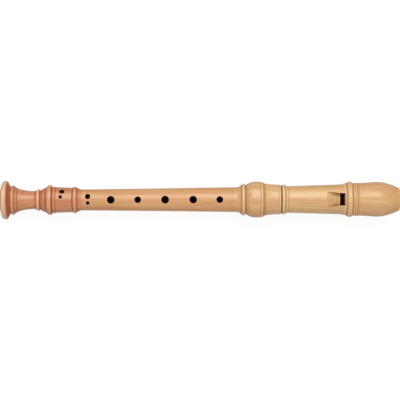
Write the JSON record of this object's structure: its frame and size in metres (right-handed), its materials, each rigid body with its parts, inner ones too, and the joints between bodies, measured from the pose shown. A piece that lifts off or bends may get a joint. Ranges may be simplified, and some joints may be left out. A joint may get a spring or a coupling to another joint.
{
  "type": "soprano recorder",
  "caption": "Wooden soprano recorder in three joints: a beaked head with window and block, a middle joint with finger holes, and a turned foot that flares to a bell.",
  "frame": {"origin": "on the ground under the middle of the instrument's length, with the instrument lying on its back", "axes": "+X along the bore towards the tip of the beak, +Z out of the window and the finger holes"},
  "size_m": [0.3268, 0.0314, 0.0314],
  "materials": {
    "head_wood": "oiled yellow-tan fruitwood, satin",
    "middle_wood": "oiled tan fruitwood, satin",
    "foot_wood": "oiled reddish fruitwood, satin",
    "block_cedar": "bare red cedar, matt",
    "cork": "greased cork sheet, matt"
  },
  "bodies": {
    "middle": {"middle_joint": "middle_wood"},
    "upper_cork": {"upper_tenon_cork": "cork"},
    "head": {"head_joint": "head_wood"},
    "block": {"block": "block_cedar"},
    "lower_cork": {"lower_tenon_cork": "cork"},
    "foot": {"foot_joint": "foot_wood"}
  },
  "joints": [
    {"name": "head_turn", "type": "hinge", "parent": "middle", "child": "upper_cork", "pos_m": [0.0312, 0, 0.01572], "axis": [1, 0, 0], "continuous": true},
    {"name": "head_slide", "type": "slide", "parent": "upper_cork", "child": "head", "axis": [1, 0, 0], "range_m": [0, 0.03]},
    {"name": "block_slide", "type": "slide", "parent": "head", "child": "block", "axis": [1, 0, 0], "range_m": [0, 0.05]},
    {"name": "foot_turn", "type": "hinge", "parent": "middle", "child": "lower_cork", "pos_m": [-0.0967, 0, 0.01572], "axis": [1, 0, 0], "continuous": true},
    {"name": "foot_slide", "type": "slide", "parent": "lower_cork", "child": "foot", "axis": [-1, 0, 0], "range_m": [0, 0.02]}
  ]
}
